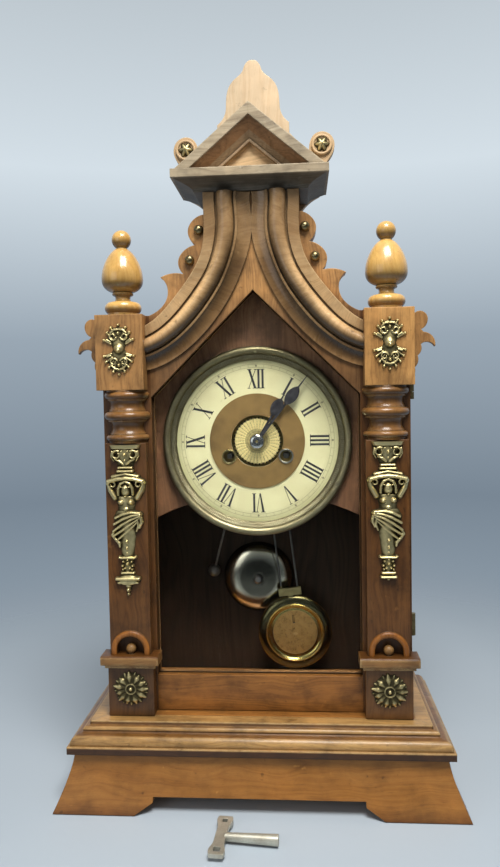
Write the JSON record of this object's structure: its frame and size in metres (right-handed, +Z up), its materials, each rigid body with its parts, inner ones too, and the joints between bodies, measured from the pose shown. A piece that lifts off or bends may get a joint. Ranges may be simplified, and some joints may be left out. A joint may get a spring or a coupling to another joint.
{
  "type": "shelf clock",
  "caption": "Walnut shelf clock with a pointed glazed door between pilasters, an open-centre dial, a swinging pendulum, an alarm bell and a loose winding key.",
  "frame": {"origin": "on the table under the middle of the plinth", "axes": "+Z up, the dial faces -Y, +X to the right as the dial is read"},
  "size_m": [0.33, 0.2058, 0.6229],
  "materials": {
    "walnut": "aged dark varnished walnut",
    "turned_walnut": "darker polished walnut on turned and swept work",
    "pine": "plain unvarnished softwood",
    "dial_board_wood": "dark red-brown stained board",
    "dial_enamel": "cream dial with black numerals",
    "copper_disc": "tan metal centre disc",
    "brass": "worn lacquered brass",
    "copper": "copper-coloured disc",
    "movement_brass": "plain brass",
    "steel": "bright steel",
    "black_hands": "blackened steel",
    "glass": "clear old window glass"
  },
  "bodies": {
    "case": {"plinth_skirt_front": "walnut", "plinth_skirt_sides": "walnut", "plinth_lip_board": "walnut", "plinth_moulding": "walnut", "plinth_top_board": "walnut", "case_sides": "walnut", "back_board": "pine", "case_shoulders": "walnut", "cornice": "walnut", "pediment": "walnut", "crest_board": "walnut", "dial_board": "dial_board_wood", "dial_plate": "dial_enamel", "dial_centre": "copper_disc", "winding_rings": "brass", "bezel": "brass", "movement_front_plate": "movement_brass", "movement_back_plate": "movement_brass", "movement_pillars": "steel", "suspension_cock": "movement_brass", "bell": "steel", "bell_post": "steel", "hinge_leaves_case": "steel"},
    "door": {"door_stiles": "walnut", "door_bottom_rail": "walnut", "arch_board": "walnut", "arch_mouldings": "turned_walnut", "brass_studs": "brass", "pilasters": "walnut", "pilaster_blocks": "walnut", "ledges": "walnut", "capitals": "walnut", "finials": "turned_walnut", "side_scrolls": "walnut", "block_rosettes": "brass", "block_mounts": "brass", "figure_mounts": "brass", "door_glass": "glass", "glass_beads": "walnut", "door_hardware": "steel"},
    "minute": {"minute_hand": "black_hands", "cannon_pinion": "steel"},
    "hour": {"hour_hand": "black_hands", "hour_wheel": "movement_brass"},
    "motion_wheel": {"minute_wheel": "movement_brass"},
    "alarm_setting": {"alarm_disc": "movement_brass"},
    "centre": {"centre_wheel": "movement_brass"},
    "third": {"third_wheel": "movement_brass"},
    "escape": {"escape_wheel": "movement_brass"},
    "barrel": {"time_barrel": "movement_brass"},
    "time_winder": {"time_arbor": "steel"},
    "alarm_drum": {"alarm_barrel": "movement_brass"},
    "alarm_winder": {"alarm_arbor": "steel"},
    "alarm_wheel": {"alarm_star": "movement_brass"},
    "hammer": {"alarm_hammer": "steel"},
    "verge": {"verge_crutch": "steel"},
    "pendulum": {"pendulum_rods": "steel", "bob_shell": "brass", "bob_disc": "copper"},
    "key": {"winding_key": "brass"}
  },
  "joints": [
    {"name": "door_hinge", "type": "hinge", "parent": "case", "child": "door", "pos_m": [0.13, -0.0197, 0.2], "axis": [0, 0, 1], "range_deg": [0, 105]},
    {"name": "minute_turn", "type": "hinge", "parent": "case", "child": "minute", "pos_m": [0, -0.0155, 0.292], "axis": [0, 1, 0], "continuous": true},
    {"name": "hour_turn", "type": "hinge", "parent": "case", "child": "hour", "pos_m": [0, -0.0125, 0.292], "axis": [0, 1, 0], "continuous": true},
    {"name": "motion_wheel_turn", "type": "hinge", "parent": "case", "child": "motion_wheel", "pos_m": [-0.0041, 0.002, 0.28072], "axis": [0, 1, 0], "continuous": true},
    {"name": "alarm_set", "type": "hinge", "parent": "case", "child": "alarm_setting", "pos_m": [0, -0.0087, 0.292], "axis": [0, 1, 0], "continuous": true},
    {"name": "third_turn", "type": "hinge", "parent": "case", "child": "third", "pos_m": [-0.008, 0.013, 0.31463], "axis": [0, 1, 0], "continuous": true},
    {"name": "centre_turn", "type": "hinge", "parent": "case", "child": "centre", "pos_m": [0, 0.008, 0.292], "axis": [0, 1, 0], "continuous": true},
    {"name": "escape_turn", "type": "hinge", "parent": "case", "child": "escape", "pos_m": [0, 0.008, 0.33404], "axis": [0, 1, 0], "continuous": true},
    {"name": "barrel_turn", "type": "hinge", "parent": "case", "child": "barrel", "pos_m": [0.0247, 0.02, 0.2787], "axis": [0, 1, 0], "continuous": true},
    {"name": "time_wind", "type": "hinge", "parent": "case", "child": "time_winder", "pos_m": [0.0247, -0.007, 0.2787], "axis": [0, 1, 0], "continuous": true},
    {"name": "alarm_wind", "type": "hinge", "parent": "case", "child": "alarm_winder", "pos_m": [-0.0247, -0.007, 0.2787], "axis": [0, 1, 0], "continuous": true},
    {"name": "alarm_drum_turn", "type": "hinge", "parent": "case", "child": "alarm_drum", "pos_m": [-0.0247, 0.016, 0.2787], "axis": [0, 1, 0], "continuous": true},
    {"name": "alarm_wheel_turn", "type": "hinge", "parent": "case", "child": "alarm_wheel", "pos_m": [-0.04, 0.016, 0.25525], "axis": [0, 1, 0], "continuous": true},
    {"name": "hammer_swing", "type": "hinge", "parent": "case", "child": "hammer", "pos_m": [-0.024, 0.02, 0.238], "axis": [0, 1, 0], "range_deg": [-4, 6], "stiffness_Nm_per_rad": 0.05, "springref_deg": 2.01},
    {"name": "pendulum_swing", "type": "hinge", "parent": "case", "child": "pendulum", "pos_m": [0, 0.038, 0.362], "axis": [0, 1, 0], "range_deg": [-0.5, 13.9]},
    {"name": "verge_swing", "type": "hinge", "parent": "case", "child": "verge", "pos_m": [0, 0.008, 0.362], "axis": [0, 1, 0], "range_deg": [-0.5, 13.9]},
    {"name": "key_lift", "type": "slide", "parent": "case", "child": "key", "axis": [0, 0, 1], "range_m": [0, 0.06]}
  ],
  "couplings": [
    {"joint": "hour_turn", "follows": "minute_turn", "ratio": 0.083333},
    {"joint": "motion_wheel_turn", "follows": "minute_turn", "ratio": -0.33333},
    {"joint": "centre_turn", "follows": "third_turn", "ratio": -0.11111},
    {"joint": "escape_turn", "follows": "third_turn", "ratio": -13},
    {"joint": "barrel_turn", "follows": "third_turn", "ratio": 0.014245},
    {"joint": "alarm_wheel_turn", "follows": "alarm_drum_turn", "ratio": -6},
    {"joint": "verge_swing", "follows": "pendulum_swing", "ratio": 1}
  ]
}
